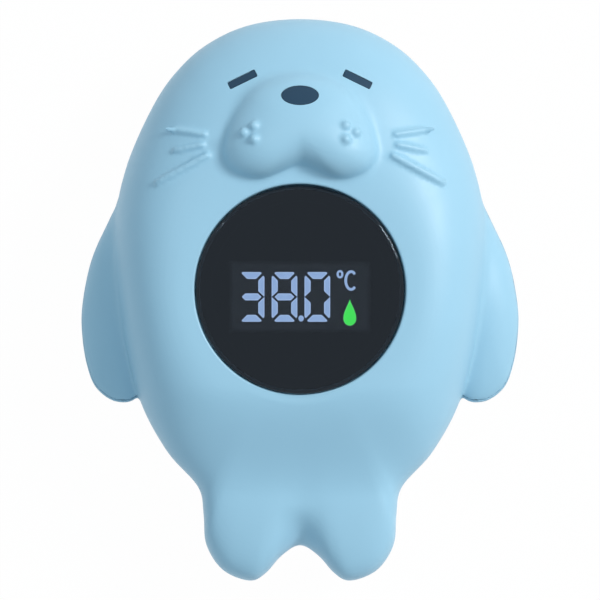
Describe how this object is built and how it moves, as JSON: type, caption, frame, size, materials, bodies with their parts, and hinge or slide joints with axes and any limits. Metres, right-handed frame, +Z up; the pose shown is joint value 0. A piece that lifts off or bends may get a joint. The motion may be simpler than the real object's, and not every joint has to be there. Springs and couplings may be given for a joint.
{
  "type": "baby bath thermometer",
  "caption": "Seal-shaped floating bath thermometer lying on its back, with a round numeric display in its belly, two flippers, and a battery door and probe in its back.",
  "frame": {"origin": "middle of the flat back, on the surface it lies on, halfway along and across the body", "axes": "+Z up out of the display, +Y towards the head, +X to the right as the display is read"},
  "size_m": [0.078, 0.1, 0.0373],
  "materials": {
    "blue_plastic": "soft matte moulding",
    "slate_plastic": "matte",
    "smoked_acrylic": "polished, smoked",
    "black_plastic": "fine matte",
    "light_guide": "frosted, lit",
    "green_guide": "frosted, lit",
    "silicone": "satin",
    "board_green": "solder mask",
    "steel": "plain",
    "cell_wrap": "plain wrap",
    "red_cover": "wire cover",
    "black_cover": "wire cover"
  },
  "bodies": {
    "root": {"front_shell": "blue_plastic", "back_shell": "blue_plastic", "shell_gasket": "silicone", "display_lens": "smoked_acrylic", "lens_gasket": "silicone", "display_housing": "black_plastic", "segment_guide": "light_guide", "drop_guide": "green_guide", "circuit_board": "board_green", "controller_chip": "black_plastic", "battery_left": "cell_wrap", "battery_right": "cell_wrap", "battery_spring_left": "steel", "battery_spring_right": "steel", "bridge_plate": "steel", "terminal_left": "steel", "terminal_right": "steel", "battery_door": "blue_plastic", "door_gasket": "silicone", "door_screw_1": "steel", "door_screw_2": "steel", "housing_screw_1": "steel", "housing_screw_2": "steel", "housing_screw_3": "steel", "housing_screw_4": "steel", "board_screw_1": "steel", "board_screw_2": "steel", "board_screw_3": "steel", "board_screw_4": "steel", "probe_cap": "steel", "probe_seal": "silicone", "probe_sensor": "black_plastic", "water_contact_left": "steel", "water_contact_right": "steel", "battery_wire_left": "black_cover", "battery_wire_right": "red_cover", "sensor_wire_left": "black_cover", "sensor_wire_right": "red_cover", "contact_wire_left": "black_cover", "contact_wire_right": "red_cover", "eye_left": "slate_plastic", "eye_right": "slate_plastic", "nose": "slate_plastic"}
  },
  "joints": []
}
